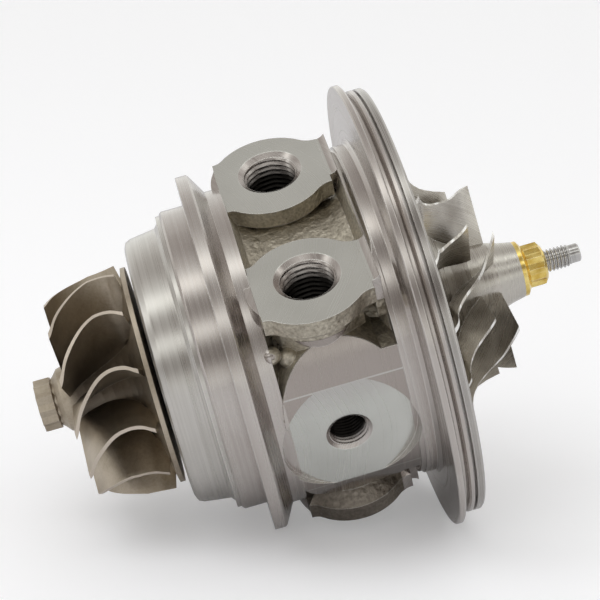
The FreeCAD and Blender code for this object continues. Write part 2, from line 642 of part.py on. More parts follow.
def split_ring(x0, width, r_in, r_out, slit):
    """A ring with a slit, as piston rings and retaining rings have."""
    cut = Part.makeBox(width + 2, slit, r_out + 2, V(x0 - 1, -slit / 2, 0))
    return ring(x0, x0 + width, r_in, r_out).cut(cut)


def bearing_bush(x0):
    """A floating bush with an oil groove in the middle and radial feed holes."""
    bush = ring(x0, x0 + BUSH_LENGTH, bush_bore_r, bush_r)
    middle = x0 + BUSH_LENGTH / 2
    groove = ring(middle - 1, middle + 1, bush_r - BUSH_GROOVE_DEPTH, bush_r + 1)
    hole = Part.makeCylinder(BUSH_HOLE_R, bush_r + 1, V(middle, 0, 0))
    return bush.cut(groove.multiFuse(around(hole, BUSH_HOLES, 30)))


def thrust_bearing():
    """A flat plate with taper lands, an oil way and the drain cut-out at the bottom."""
    plate = ring(thrust_face_x, thrust_face_x + THRUST_PLATE, THRUST_BORE_R,
                 THRUST_PLATE_R - SPIGOT_GAP)
    window = Part.makeBox(THRUST_PLATE + 2, 16, 12, V(thrust_face_x - 1, -8, -THRUST_PLATE_R - 2))
    oil_way = Part.makeCylinder(1.0, 12, V(thrust_face_x + THRUST_PLATE / 2, 0, THRUST_BORE_R - 1))
    grooves = [Part.makeBox(0.4, 1.2, 4.2, V(x, -0.6, THRUST_BORE_R - 0.5))
               for x in (thrust_face_x, thrust_face_x + THRUST_PLATE - 0.4)]
    cuts = [window, oil_way]
    for groove in grooves:
        cuts += around(groove, 4, 45)
    cuts += around(screw_shank(collar_flange_x + 1, THRUST_SCREW_R + 0.2, THRUST_SCREW_RING_R,
                               THRUST_PLATE + 3), THRUST_SCREWS, 30)
    cuts += around(screw_shank(collar_flange_x + 1, THRUST_PIN_R, THRUST_PIN_RING_R,
                               THRUST_PLATE + 3), THRUST_PINS, 90)
    return plate.cut(cuts[0].multiFuse(cuts[1:]))


def thrust_screws():
    """Small cheese-head screws that hold the thrust bearing down."""
    head_x = thrust_face_x + THRUST_PLATE
    shank = screw_shank(head_x, THRUST_SCREW_R, THRUST_SCREW_RING_R, THRUST_SCREW_LENGTH)
    head = Part.makeCylinder(THRUST_SCREW_HEAD_R, THRUST_SCREW_HEAD,
                             V(head_x, 0, THRUST_SCREW_RING_R), AXIS)
    slit = Part.makeBox(1.0, 0.7, 2 * THRUST_SCREW_HEAD_R,
                        V(head_x + THRUST_SCREW_HEAD - 0.7, -0.35,
                          THRUST_SCREW_RING_R - THRUST_SCREW_HEAD_R))
    return Part.makeCompound(around(shank.fuse(head).cut(slit), THRUST_SCREWS, 30))


def thrust_pins():
    end_x = thrust_face_x + THRUST_PLATE
    pin = screw_shank(end_x, THRUST_PIN_R, THRUST_PIN_RING_R, THRUST_PIN_LENGTH)
    return Part.makeCompound(around(pin, THRUST_PINS, 90))


def thrust_collar():
    return turned([
        (SHAFT_SHOULDER_X + THRUST_RING, STUB_R),
        (SHAFT_SHOULDER_X + THRUST_RING, COLLAR_SLEEVE_R),
        (collar_flange_x, COLLAR_SLEEVE_R), (collar_flange_x, THRUST_RING_R),
        (flinger_x, THRUST_RING_R), (flinger_x, STUB_R),
    ])


def oil_flinger():
    """The sleeve between collar and wheel, with a flinger disc and a piston-ring groove."""
    groove_end = COMPRESSOR_RING_X + RING_WIDTH + RING_SIDE_GAP
    groove_r = FLINGER_R - RING_DEPTH
    return turned([
        (flinger_x, STUB_R), (flinger_x, FLINGER_DISC_R),
        (flinger_x + FLINGER_DISC, FLINGER_DISC_R - 0.6), (flinger_x + FLINGER_DISC, FLINGER_R),
        (COMPRESSOR_RING_X - RING_SIDE_GAP, FLINGER_R),
        (COMPRESSOR_RING_X - RING_SIDE_GAP, groove_r),
        (groove_end, groove_r), (groove_end, FLINGER_R),
        (COMPRESSOR_HUB_START_X, FLINGER_R), (COMPRESSOR_HUB_START_X, STUB_R),
    ])


def oil_deflector():
    """A sheet washer in front of the seal plate, with a tongue that leads the oil down."""
    washer = ring(deflector_x, SPIGOT_X, DEFLECTOR_HOLE_R, DEFLECTOR_R)
    tongue = Part.makeBox(2.2, 9.0, DEFLECTOR_SHEET,
                          V(deflector_x - 2.2, -4.5, -(FLINGER_DISC_R + 2.0)))
    return washer.fuse(tongue)


def seal_plate():
    """The disc behind the compressor wheel: lip, spigot with a seal groove, and the bore."""
    spigot_r = POCKET_R - SPIGOT_GAP
    groove = ORING_SECTION_R * 2 + 0.4
    groove_r = POCKET_R - ORING_SECTION_R * 2
    body = turned([
        (SPIGOT_X, flinger_bore_r), (SPIGOT_X, spigot_r - 0.5), (SPIGOT_X + 0.5, spigot_r),
        (ORING_X - groove / 2, spigot_r), (ORING_X - groove / 2, groove_r),
        (ORING_X + groove / 2, groove_r), (ORING_X + groove / 2, spigot_r),
        (land_end_x, spigot_r), (land_end_x, LAND_R - SEAM_DEPTH), (lip_x, LAND_R - SEAM_DEPTH),
        (lip_x, LAND_R - 0.2), (lip_x + 0.2, LAND_R), (plate_end_x - 0.5, LAND_R),
        (plate_end_x, LAND_R - 0.5), (plate_end_x, PLATE_DISH_R + 0.5),
        (plate_end_x - PLATE_DISH, PLATE_DISH_R), (plate_end_x - PLATE_DISH, flinger_bore_r),
    ])
    thickness = plate_end_x - land_end_x
    hole = screw_shank(plate_end_x + 1, PLATE_SCREW_R + 0.1, PLATE_SCREW_RING_R, thickness + 3)
    sink = Part.makeCone(PLATE_SCREW_R, PLATE_SCREW_HEAD_R, PLATE_SCREW_HEAD_R - PLATE_SCREW_R,
                         V(plate_end_x - PLATE_SCREW_HEAD_R + PLATE_SCREW_R, 0,
                           PLATE_SCREW_RING_R), AXIS)
    cuts = around(hole.fuse(sink), PLATE_SCREWS, 45)
    return body.cut(cuts[0].multiFuse(cuts[1:]))


def plate_screws():
    """Countersunk screws with a hexagon socket that hold the seal plate."""
    head = PLATE_SCREW_HEAD_R - PLATE_SCREW_R
    shank = screw_shank(plate_end_x, PLATE_SCREW_R, PLATE_SCREW_RING_R, PLATE_SCREW_LENGTH)
    cone = Part.makeCone(PLATE_SCREW_R, PLATE_SCREW_HEAD_R, head,
                         V(plate_end_x - head, 0, PLATE_SCREW_RING_R), AXIS)
    socket = polygon_prism(plate_end_x - 1.6, plate_end_x + 1, PLATE_SCREW_SOCKET_R, 6, 0)
    socket.translate(V(0, 0, PLATE_SCREW_RING_R))
    return Part.makeCompound(around(shank.fuse(cone).cut(socket), PLATE_SCREWS, 45))


def plate_oring():
    """The rubber ring in the spigot's groove, touching the groove's floor and the pocket."""
    centre_r = POCKET_R - ORING_SECTION_R
    return Part.makeTorus(centre_r, ORING_SECTION_R, V(ORING_X, 0, 0), AXIS)


def compressor_root(x):
    return smooth(COMPRESSOR_HUB_CURVE, x) - 0.6


def compressor_tip(x):
    if x < COMPRESSOR_SHROUD_CURVE[0][0]:
        return COMPRESSOR_MAX_R
    return smooth(COMPRESSOR_SHROUD_CURVE, x)


def compressor_wheel():
    """Machined wheel: hub, back disc, six full blades and six splitters between them."""
    first_x = COMPRESSOR_BACK_X + COMPRESSOR_RIM
    curve = [(x, smooth(COMPRESSOR_HUB_CURVE, x)) for x in
             (first_x, 60.9, 61.5, 62.4, 63.6, 65.2, 67.2, 69.5, 72, 75, INDUCER_X)]
    hub = turned([
        (COMPRESSOR_HUB_START_X, STUB_R), (COMPRESSOR_HUB_START_X, COMPRESSOR_HUB_BACK_R),
        (COMPRESSOR_BACK_X, COMPRESSOR_HUB_BACK_R), (COMPRESSOR_BACK_X, COMPRESSOR_MAX_R)]
        + curve + [(COMPRESSOR_NOSE_X - 3, 8.0), (COMPRESSOR_NOSE_X, COMPRESSOR_NOSE_R),
                   (COMPRESSOR_NOSE_X, STUB_R)])
    blades = []
    for edge_x, steps, start in ((INDUCER_X, 12, 0.0), (SPLITTER_X, 9, 180.0 / FULL_BLADES)):
        blade = bladed(first_x - 0.4, edge_x + 0.5, steps, COMPRESSOR_SWEEP, compressor_root,
                       compressor_tip, COMPRESSOR_BLADE_ROOT, COMPRESSOR_BLADE_EDGE)
        stations = [first_x - 0.2] + [x for x in SHROUD_STATIONS if x < edge_x] + [edge_x]
        blade = blade.common(swept_by(stations, compressor_tip))
        blades += around(blade, FULL_BLADES, COMPRESSOR_PHASE + start)
    return hub.multiFuse(blades)


def compressor_nut():
    """Flanged twelve-point nut with a rounded end."""
    flange = turned([
        (nut_x, STUB_R), (nut_x, NUT_FLANGE_R), (nut_x + NUT_FLANGE - 1.0, NUT_FLANGE_R),
        (nut_x + NUT_FLANGE, NUT_BODY_R), (nut_x + NUT_FLANGE, STUB_R)])
    points = twelve_point(nut_x, nut_end_x, NUT_BODY_R)
    crown = turned([
        (nut_x, STUB_R), (nut_x, NUT_BODY_R + 1), (nut_end_x - 1.4, NUT_BODY_R + 1),
        (nut_end_x - 0.8, NUT_BODY_R - 0.25), (nut_end_x, NUT_BODY_R - 1.3),
        (nut_end_x, STUB_R)])
    return flange.fuse(points.common(crown))


def lying(shape):
    """The finished piece in the pose in which the cartridge lies on a bench."""
    placed = shape.copy()
    placed.translate(V(-pilot_end_x, 0, 0))
    placed.rotate(ORIGIN, AXIS, 90 + OIL_FEED_BELOW_HORIZONTAL)
    placed.rotate(ORIGIN, V(0, 1, 0), -lying_tilt)
    return placed


def build():
    snaps = []
    pieces = {"bearing_housing": bearing_housing(snaps)}
    pieces["heat_shield"] = heat_shield()
    pieces["turbine_wheel"] = turbine_wheel()
    pieces["rotor_shaft"] = rotor_shaft()
    pieces["turbine_piston_ring"] = split_ring(
        TURBINE_RING_X, RING_WIDTH, SEAL_HUB_R - RING_DEPTH + 0.2, seal_bore_r, 0.3)
    pieces["turbine_bearing_bush"] = bearing_bush(TURBINE_BUSH_X)
    pieces["compressor_bearing_bush"] = bearing_bush(COMPRESSOR_BUSH_X)
    snap_in_r = bush_r - 1.6
    pieces["bush_retaining_rings"] = Part.makeCompound(
        [split_ring(x, SNAP_WIRE, snap_in_r, bearing_bore_r + SNAP_SEAT, 3.0) for x in snaps])
    pieces["thrust_ring"] = ring(
        SHAFT_SHOULDER_X, SHAFT_SHOULDER_X + THRUST_RING, STUB_R, THRUST_RING_R)
    pieces["thrust_bearing"] = thrust_bearing()
    pieces["thrust_bearing_screws"] = thrust_screws()
    pieces["thrust_bearing_pins"] = thrust_pins()
    pieces["thrust_collar"] = thrust_collar()
    pieces["oil_flinger"] = oil_flinger()
    pieces["oil_deflector"] = oil_deflector()
    pieces["compressor_piston_ring"] = split_ring(
        COMPRESSOR_RING_X, RING_WIDTH, FLINGER_R - RING_DEPTH + 0.2, flinger_bore_r, 0.3)
    pieces["seal_plate"] = seal_plate()
    pieces["seal_plate_oring"] = plate_oring()
    pieces["seal_plate_screws"] = plate_screws()
    pieces["compressor_wheel"] = compressor_wheel()
    pieces["compressor_nut"] = compressor_nut()
    return pieces


os.makedirs("parts", exist_ok=True)
for node, shape in build().items():
    placed = lying(shape)
    placed.exportStep("parts/" + node + ".step")
    print(node, "solids", len(placed.Solids), "valid", placed.isValid(),
          "volume", round(placed.Volume, 1))
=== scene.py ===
import json
import math
import bpy
from mathutils import Matrix, Vector


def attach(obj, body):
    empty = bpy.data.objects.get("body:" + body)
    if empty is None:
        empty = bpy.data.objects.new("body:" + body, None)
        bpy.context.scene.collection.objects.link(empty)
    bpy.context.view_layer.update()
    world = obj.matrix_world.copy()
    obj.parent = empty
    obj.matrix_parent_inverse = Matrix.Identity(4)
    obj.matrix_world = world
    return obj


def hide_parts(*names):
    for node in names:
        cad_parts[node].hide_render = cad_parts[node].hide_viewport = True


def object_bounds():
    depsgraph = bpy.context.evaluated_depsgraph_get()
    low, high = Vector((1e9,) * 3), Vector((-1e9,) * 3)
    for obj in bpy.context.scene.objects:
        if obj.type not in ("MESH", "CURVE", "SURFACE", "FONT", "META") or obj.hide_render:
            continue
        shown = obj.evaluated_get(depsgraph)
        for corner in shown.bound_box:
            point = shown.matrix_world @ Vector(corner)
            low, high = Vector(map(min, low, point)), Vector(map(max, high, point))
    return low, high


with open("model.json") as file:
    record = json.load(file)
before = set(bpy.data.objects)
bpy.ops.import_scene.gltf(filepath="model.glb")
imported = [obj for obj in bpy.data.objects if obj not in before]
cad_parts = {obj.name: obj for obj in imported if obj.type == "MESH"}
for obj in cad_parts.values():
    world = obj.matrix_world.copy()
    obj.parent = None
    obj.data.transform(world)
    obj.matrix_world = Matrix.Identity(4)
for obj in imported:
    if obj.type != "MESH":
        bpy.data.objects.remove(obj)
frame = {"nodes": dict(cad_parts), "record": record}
cad_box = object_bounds()

MM = 0.001                           # a millimetre in the frame's metres

# The shaft's own frame, in millimetres: stations along the shaft count from the front
# face of the pilot ring, and angles about it from the oil feed to the coolant ports
MOUNTS = {mount["name"]: mount for mount in frame["record"]["mounts"]}
PILOT_LENGTH = 6.5
ALONG = Vector(MOUNTS["compressor_pilot"]["axis"]).normalized()
FEED = Vector(MOUNTS["oil_feed"]["axis"]).normalized()
PORTS = Vector(MOUNTS["coolant_port_1"]["axis"]).normalized()
START = Vector(MOUNTS["turbine_pilot"]["pos_m"]) - ALONG * PILOT_LENGTH * MM
UP = Vector((0.0, 0.0, 1.0))

# Bearing housing: where its casting was machined
NECK_END_X = 16.4
SHOULDER_X = 46.2
BARREL_R = 42.4
BOSS_REACH = 26.4
RUN_OUT_X = 41.6                     # where the pads' flats run out towards the shoulder
RUN_OUT_HALF = 9.3
RUN_OUT_FLOOR = 30.0
PORT_FLOOR = 15.0                    # nothing nearer the shaft counts as inside a port
COOLANT_PLANE = 36.6
COOLANT_X = 30.1
COOLANT_OFFSET = 21.3
COOLANT_SEAT_R = 8.3
FEED_X = 30.3
FEED_PLANE = 39.2
FEED_SEAT_R = 5.9
FEED_FACE_R = 17.2
DRAIN_PLANE = 38.6
DRAIN_R = 8.5
COOLANT_SHADE_DEPTH = 6.5                   # depths from the ports' faces at which their painted shade turns them black
FEED_SHADE_DEPTH = 3.6
DRAIN_SHADE_DEPTH = 9.0

# Webs between the coolant pads' flats and the shoulder, each middle as the housing's side
# and a height towards the oil feed
WEB_START_X = 44.1
WEB_END_X = 46.35
WEB_R = 2.8
WEB_SPAN = (-9.0, 6.5)
WEB_BOTTOM = 25.0
WEB_STEPS = 10
WEB_MIDDLES = ((1, 22.5), (1, -20.1), (-1, 20.1), (-1, -22.5))

# Threads in the ports: nominal radius, radius at the crests, pitch, and the depths from the
# port's face between which the thread runs
COOLANT_THREAD = (7.0, 6.2, 1.5, 0.9, 14.4)
FEED_THREAD = (5.0, 4.46, 1.0, 0.7, 11.5)
DRAIN_THREAD = (4.0, 3.4, 1.25, 0.6, 13.0)
DRAIN_BOLT_OFFSET = 20.0
ROOT_GAP = 0.04                      # between the thread's roots and the bore
SLEEVE_GAP = 0.01                    # between a threaded sleeve's outside and the bore
FADE_IN = 0.6                        # pitches over which the thread rises to its full height

# Wheels: the lines that their blades' tips follow, as X station and radius, and the planes
# in which the blades' outer edges lie
TURBINE_TIPS = ((-34.2, 25.8), (-22.2, 29.2), (-13.4, 29.9))
TURBINE_EDGE_X = -34.2
INDUCER_X = 78.7
COMPRESSOR_TIPS = (
    (63.2, 33.5), (63.6, 31.3), (64.9, 28.7), (67.9, 26.4), (72.3, 24.9), (78.7, 24.6),
)

# Shaft: turned outline, and the thread on its end
SHAFT_OUTLINE = (
    (-11.6, 0.0), (-11.6, 8.6), (-7.08, 8.6), (-7.08, 7.1), (-5.52, 7.1), (-5.52, 8.6),
    (-2.2, 8.6), (-1.6, 4.8), (-0.2, 4.0), (41.0, 4.0), (41.0, 3.0), (92.5, 3.0),
)
SHAFT_THREAD_START_X = 92.5
SHAFT_THREAD_END_X = 99.7
SHAFT_TAIL = ((99.9, 2.46), (102.1, 2.46), (102.4, 2.16), (102.4, 0.0))
SHAFT_THREAD_R = 3.0
SHAFT_ROOT_R = 2.46
SHAFT_PITCH = 1.0
SHAFT_FADE_OUT = 0.4                 # share of the thread's height that is left at its end
AXIS_R = 0.01                        # closes a turned piece where it meets its axis

THREAD_SEGMENTS = 72
ROWS_PER_PITCH = 10
THREAD_FLAT = 0.125                  # share of the pitch that is flat at a crest
SHARP_ANGLE = 35.0                   # degrees between faces past which an edge looks sharp

# Camera: how the photograph sees the shaft
CAMERA_FOCAL_PX = 1900.0
IMAGE_PX = 600.0
SHAFT_TILT = 0.2795144               # radians, the shaft rises to the right in the picture
SHAFT_RECEDES = 0.0507915            # radians, its compressor end is further away
START_PX = (200.6051, 360.5582)      # where the pilot ring's centre appears
START_DISTANCE = 0.4902525           # metres, along the camera's axis
FACING_ANGLE = 43.0                  # degrees from the oil feed, the side that faces the camera
SENSOR_MM = 36.0

# Floor and key lamp, in metres and watts
FLOOR_HALF = 3.0
KEY_OFFSET = Vector((-0.35, -0.25, 0.65))
KEY_SIZE = 0.5
KEY_POWER = 1.2

# Studio: strength by the angle about the shaft, in degrees, from the camera's side upwards
STUDIO = (
    (-180, 0.90), (-60, 0.85), (-30, 0.94), (-18, 1.00), (-8, 0.70), (-3, 0.30), (8, 0.30),
    (14, 0.80), (18, 1.40), (23, 1.40), (28, 0.70), (34, 0.38), (44, 0.38), (50, 0.90),
    (55, 1.70), (61, 1.70), (67, 1.05), (76, 0.70), (88, 0.53), (104, 0.58), (116, 0.72),
    (136, 0.90), (156, 1.05), (180, 0.95),
)
DIM_TINT = (1.05, 0.98, 0.93)
BRIGHT_TINT = (0.99, 1.00, 0.97)
PALE = 0.90                          # the background, as the camera sees it
FLOOR_COLOUR = (0.82, 0.825, 0.86)
FLOOR_SHEEN = 0.22                   # what the camera sees of the floor even in its shadow


def toward(angle):
    """The direction away from the shaft at an angle in degrees."""
    a = math.radians(angle)
    return FEED * math.cos(a) + PORTS * math.sin(a)


def add_camera():
    middle = IMAGE_PX / 2
    shaft = Vector((math.cos(SHAFT_TILT) * math.cos(SHAFT_RECEDES),
                    math.sin(SHAFT_TILT) * math.cos(SHAFT_RECEDES),
                    -math.sin(SHAFT_RECEDES)))
    start = Vector(((START_PX[0] - middle) / CAMERA_FOCAL_PX,
                    (middle - START_PX[1]) / CAMERA_FOCAL_PX, -1.0)) * START_DISTANCE
    near = (-start + shaft * start.dot(shaft)).normalized()
    above = shaft.cross(near)
    if above.y < 0:
        above = -above
    seen = Matrix((shaft, near, above)).transposed()
    real = Matrix((ALONG, toward(FACING_ANGLE), toward(FACING_ANGLE + 90))).transposed()
    turn = real @ seen.inverted()
    data = bpy.data.cameras.new("camera")
    data.sensor_width = SENSOR_MM
    data.lens = CAMERA_FOCAL_PX / IMAGE_PX * SENSOR_MM
    data.clip_start = 0.01
    camera = bpy.data.objects.new("camera", data)
    camera.matrix_world = Matrix.Translation(START - turn @ start) @ turn.to_4x4()
    bpy.context.scene.collection.objects.link(camera)
    bpy.context.scene.camera = camera
    return camera


class Surface:
    """A material, with its nodes written as short calls that return their output."""

    def __init__(self, name, metallic=1.0):
        self.material = bpy.data.materials.new(name)
        self.material.use_nodes = True
        self.tree = self.material.node_tree
        self.shader = self.tree.nodes["Principled BSDF"]
        self.shader.inputs["Metallic"].default_value = metallic
        place = self.node("ShaderNodeTexCoord").outputs["Object"]
        place = self.vector("SUBTRACT", place, START)
        self.place = self.vector("SCALE", place, scale=1 / MM)
        self.x = self.vector("DOT_PRODUCT", self.place, ALONG)
        self.y = self.vector("DOT_PRODUCT", self.place, PORTS)
        self.z = self.vector("DOT_PRODUCT", self.place, FEED)
        self.r = self.root(self.y, self.z)

    def node(self, kind, **settings):
        node = self.tree.nodes.new(kind)
        for name, value in settings.items():
            setattr(node, name, value)
        return node

    def feed(self, socket, value):
        if isinstance(value, bpy.types.NodeSocket):
            self.tree.links.new(value, socket)
        else:
            socket.default_value = value

    def math(self, operation, a, b=0.0, clamp=False):
        node = self.node("ShaderNodeMath", operation=operation, use_clamp=clamp)
        self.feed(node.inputs[0], a)
        self.feed(node.inputs[1], b)
        return node.outputs[0]

    def vector(self, operation, a, b=None, scale=None):
        node = self.node("ShaderNodeVectorMath", operation=operation)
        self.feed(node.inputs[0], a)
        if b is not None:
            self.feed(node.inputs[1], b)
        if scale is not None:
            self.feed(node.inputs["Scale"], scale)
        return node.outputs["Value" if operation == "DOT_PRODUCT" else "Vector"]

    def root(self, a, b):
        """The length of the two sides of a right angle."""
        total = self.math("ADD", self.math("MULTIPLY", a, a), self.math("MULTIPLY", b, b))
        return self.math("SQRT", total)

    def span(self, value, low, high, to_low=0.0, to_high=1.0):
        """value, brought from low..high to to_low..to_high and held there."""
        node = self.node("ShaderNodeMapRange")
        for socket, given in zip(node.inputs[:5], (value, low, high, to_low, to_high)):
            self.feed(socket, given)
        return node.outputs[0]

    def noise(self, scale, detail=3.0, roughness=0.5, place=None):
        node = self.node("ShaderNodeTexNoise")
        self.feed(node.inputs["Vector"], place or self.place)
        node.inputs["Scale"].default_value = scale
        node.inputs["Detail"].default_value = detail
        node.inputs["Roughness"].default_value = roughness
        return node.outputs["Fac"]

    def mix(self, share, a, b):
        node = self.node("ShaderNodeMix", data_type="RGBA")
        for socket, given in ((node.inputs[0], share), (node.inputs[6], a), (node.inputs[7], b)):
            self.feed(socket, given)
        return node.outputs[2]

    def most(self, *values):
        total = values[0]
        for value in values[1:]:
            total = self.math("MAXIMUM", total, value)
        return total

    def less(self, value):
        """1 where value is 0, and 0 where it is 1."""
        return self.math("SUBTRACT", 1.0, value)

    def part(self, share, a, b):
        """The number a where the share is 0 and b where it is 1."""
        return self.math("ADD", self.math("MULTIPLY", self.less(share), a),
                         self.math("MULTIPLY", share, b))

    def level(self, value, plane):
        """1 on a flat at a plane, and 0 off it."""
        off = self.math("ABSOLUTE", self.math("SUBTRACT", value, plane))
        return self.span(off, 0.09, 0.05)

    def both(self, *values):
        total = values[0]
        for value in values[1:]:
            total = self.math("MULTIPLY", total, value)
        return total

    def turning(self, lines_per_mm, detail=2.0):
        """The lines that a lathe leaves: they run round the shaft on every turned face."""
        across = self.math("MULTIPLY", self.math("ADD", self.x, self.r), lines_per_mm)
        around = self.math("DIVIDE", 0.6, self.math("MAXIMUM", self.r, 1.0))
        node = self.node("ShaderNodeCombineXYZ")
        self.feed(node.inputs[0], across)
        self.feed(node.inputs[1], self.math("MULTIPLY", self.y, around))
        self.feed(node.inputs[2], self.math("MULTIPLY", self.z, around))
        return self.noise(1.0, detail, place=node.outputs[0])

    def bevelled(self, radius):
        node = self.node("ShaderNodeBevel", samples=6)
        node.inputs["Radius"].default_value = radius * MM
        return node.outputs[0]

    def edge(self, bevelled):
        """1 along the sharp edges that the bevelled normal rounds off, 0 on plain faces; the
        materials paint their highlights along it.
        """
        plain = self.node("ShaderNodeNewGeometry").outputs["Normal"]
        return self.span(self.vector("DOT_PRODUCT", bevelled, plain), 0.995, 0.90)

    def bump(self, height, depth, normal=None):
        """A normal from a height of 0 to 1 over a depth in millimetres."""
        node = self.node("ShaderNodeBump")
        node.inputs["Strength"].default_value = 1.0
        node.inputs["Distance"].default_value = 1.0
        self.feed(node.inputs["Height"], self.math("MULTIPLY", height, depth * MM))
        if normal is not None:
            self.feed(node.inputs["Normal"], normal)
        return node.outputs[0]

    def across_the_lines(self, anisotropic):
        """Stretches highlights across the turning lines, which run round the shaft."""
        self.shader.inputs["Anisotropic"].default_value = anisotropic
        outward = self.vector("SUBTRACT", self.place, self.vector("SCALE", ALONG, scale=self.x))
        across = self.vector("ADD", self.vector("NORMALIZE", outward), ALONG)
        world = self.node("ShaderNodeVectorTransform", vector_type="VECTOR",
                          convert_from="OBJECT", convert_to="WORLD")
        self.feed(world.inputs[0], across)
        self.feed(self.shader.inputs["Tangent"], world.outputs[0])

    def finish(self, colour, roughness, normal=None):
        self.feed(self.shader.inputs["Base Color"], colour)
        self.feed(self.shader.inputs["Roughness"], roughness)
        if normal is not None:
            self.feed(self.shader.inputs["Normal"], normal)
        return self.material


def rgb(r, g, b):
    return (r, g, b, 1.0)


def turned_steel(name, dark, light, roughness, edge_highlight, anisotropic=0.75):
    """Turned metal: lines round the shaft, slow stains, painted highlights along the edges."""
    s = Surface(name)
    fine = s.turning(9.0)
    coarse = s.turning(1.3, 4.0)
    stain = s.noise(0.045, 3.0)
    tone = s.math("ADD", s.math("MULTIPLY", coarse, 0.55), s.math("MULTIPLY", stain, 0.45))
    bevelled = s.bevelled(0.22)
    colour = s.mix(s.span(tone, 0.36, 0.64), dark, light)
    # Painted highlight along the sharp edges.
    colour = s.mix(s.edge(bevelled), colour, edge_highlight)
    height = s.math("ADD", s.math("MULTIPLY", fine, 0.3), coarse)
    rough = s.span(s.math("ADD", fine, coarse), 0.7, 1.3, roughness * 0.8, roughness * 1.25)
    s.across_the_lines(anisotropic)
    return s.finish(colour, rough, s.bump(height, 0.012, bevelled))


def port_zone(s, distance, radius, height, plane, shade_depth):
    """The inside of a port, and how far towards the depth at which its painted shade is black, both
    from 0 to 1.
    """
    inside = s.both(s.span(distance, radius + 0.05, radius),
                    s.span(height, PORT_FLOOR, PORT_FLOOR + 0.1))
    return inside, s.both(inside, s.span(height, plane - 0.9, plane - shade_depth))


def housing_zones(s):
    """The housing's ends, flats, barrel, all that is machined and the ports' painted shade, black
    towards their depths.

    A zone's edge blends over 0.1 mm or less, and may lie a little past the face that it
    covers.
    """
    wander = s.math("MULTIPLY", s.math("SUBTRACT", s.noise(0.9), 0.5), 0.35)
    across = s.math("ABSOLUTE", s.y)
    below = s.math("MULTIPLY", s.z, -1.0)
    beside = s.math("SUBTRACT", s.math("ABSOLUTE", s.z), COOLANT_OFFSET)
    from_coolant = s.root(s.math("SUBTRACT", s.x, COOLANT_X), beside)
    from_feed = s.root(s.math("SUBTRACT", s.x, FEED_X), s.y)
    in_coolant, coolant_shade = port_zone(s, from_coolant, COOLANT_SEAT_R, s.y, COOLANT_PLANE,
                                          COOLANT_SHADE_DEPTH)
    in_feed, feed_shade = port_zone(s, from_feed, FEED_SEAT_R, s.z, FEED_PLANE, FEED_SHADE_DEPTH)
    in_drain, drain_shade = port_zone(s, from_feed, DRAIN_R, below, DRAIN_PLANE, DRAIN_SHADE_DEPTH)
    ends = s.most(s.span(s.x, NECK_END_X + 0.05, NECK_END_X),
                  s.span(s.x, SHOULDER_X - 0.05, SHOULDER_X))
    flats = s.both(s.less(ends), s.most(s.level(across, COOLANT_PLANE), s.level(s.z, FEED_PLANE),
                                        s.level(below, DRAIN_PLANE)))
    barrel = s.both(s.span(s.math("ADD", s.r, wander), BARREL_R - 0.3, BARREL_R - 0.2),
                    s.span(across, BOSS_REACH + 1.2, BOSS_REACH + 1.1))
    run_out = s.both(s.span(s.x, RUN_OUT_X, RUN_OUT_X + 0.1),
                     s.span(across, RUN_OUT_FLOOR, RUN_OUT_FLOOR + 0.1),
                     s.span(s.math("ABSOLUTE", beside), RUN_OUT_HALF + 0.1, RUN_OUT_HALF))
    spot_face = s.both(s.span(from_feed, FEED_FACE_R + 0.3, FEED_FACE_R + 0.2),
                       s.span(s.z, FEED_PLANE - 0.3, FEED_PLANE - 0.2))
    machined = s.most(ends, flats, barrel, run_out, spot_face, in_coolant, in_feed, in_drain)
    return ends, flats, barrel, machined, s.most(coolant_shade, feed_shade, drain_shade)


